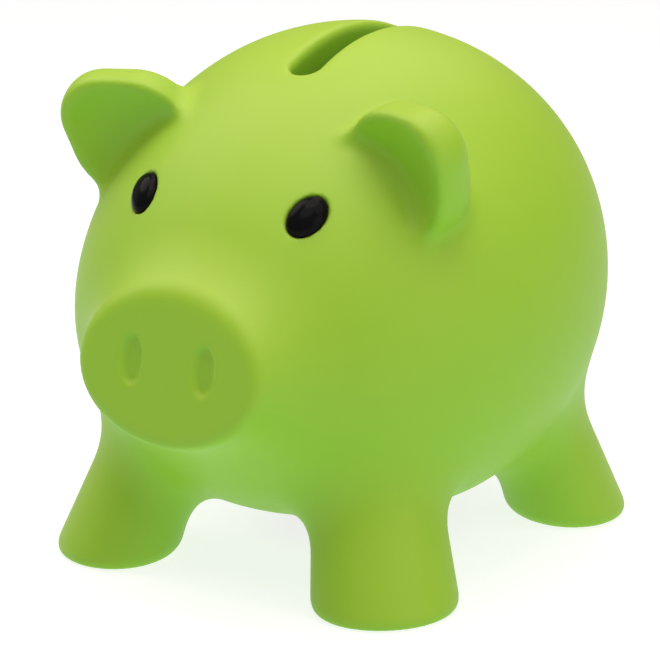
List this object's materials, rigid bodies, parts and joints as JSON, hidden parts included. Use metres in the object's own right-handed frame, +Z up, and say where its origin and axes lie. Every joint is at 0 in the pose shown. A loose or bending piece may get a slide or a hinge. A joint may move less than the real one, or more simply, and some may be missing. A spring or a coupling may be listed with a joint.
{
  "type": "piggy bank",
  "caption": "Soft moulded pig-shaped coin bank with a coin slot in the back and a round pull-out stopper in the belly.",
  "frame": {"origin": "on the surface that the pig stands on, under the middle of its bounding box", "axes": "+Z up, the pig looks along -Y, +X is the pig's left side"},
  "size_m": [0.0878, 0.1049, 0.0883],
  "materials": {
    "lime_pvc": "soft satin skin, slightly rubbery, moulded in colour",
    "black_gloss": "polished black",
    "stopper_pvc": "soft satin black, flexible"
  },
  "bodies": {
    "shell": {"body_shell": "lime_pvc", "eye_left": "black_gloss", "eye_right": "black_gloss"},
    "stopper": {"belly_stopper": "stopper_pvc"}
  },
  "joints": [
    {"name": "stopper_pull", "type": "slide", "parent": "shell", "child": "stopper", "axis": [0, 0, -1], "range_m": [0, 0.007]}
  ]
}
